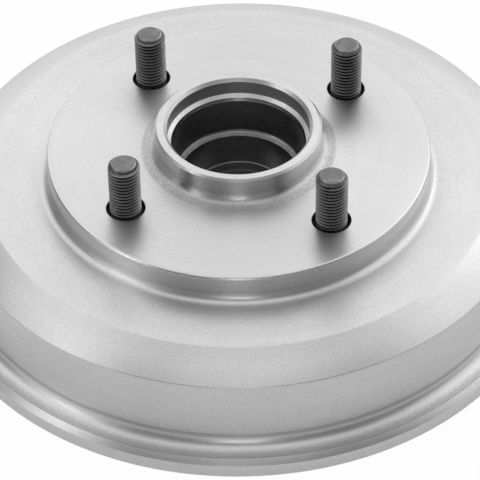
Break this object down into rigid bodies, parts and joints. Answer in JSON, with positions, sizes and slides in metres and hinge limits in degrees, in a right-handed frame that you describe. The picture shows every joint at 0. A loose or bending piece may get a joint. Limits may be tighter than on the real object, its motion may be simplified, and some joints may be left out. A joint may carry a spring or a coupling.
{
  "type": "brake drum",
  "caption": "Rear brake drum in one casting with its wheel hub, with a turned wheel face, a centring spigot, a stepped bearing bore, a flanged open rim and pressed-in wheel studs.",
  "frame": {"origin": "on the axle line, at the wheel face", "axes": "+Z along the axle line, out of the wheel side; the drum opens towards -Z; +X runs midway between two studs"},
  "size_m": [0.241, 0.241, 0.0754],
  "materials": {
    "machined_iron": "fine-turned, bare and unworn",
    "stud_steel": "dull dark phosphate coat"
  },
  "bodies": {
    "root": {"brake_drum": "machined_iron", "wheel_stud_1": "stud_steel", "wheel_stud_2": "stud_steel", "wheel_stud_3": "stud_steel", "wheel_stud_4": "stud_steel"}
  },
  "joints": []
}
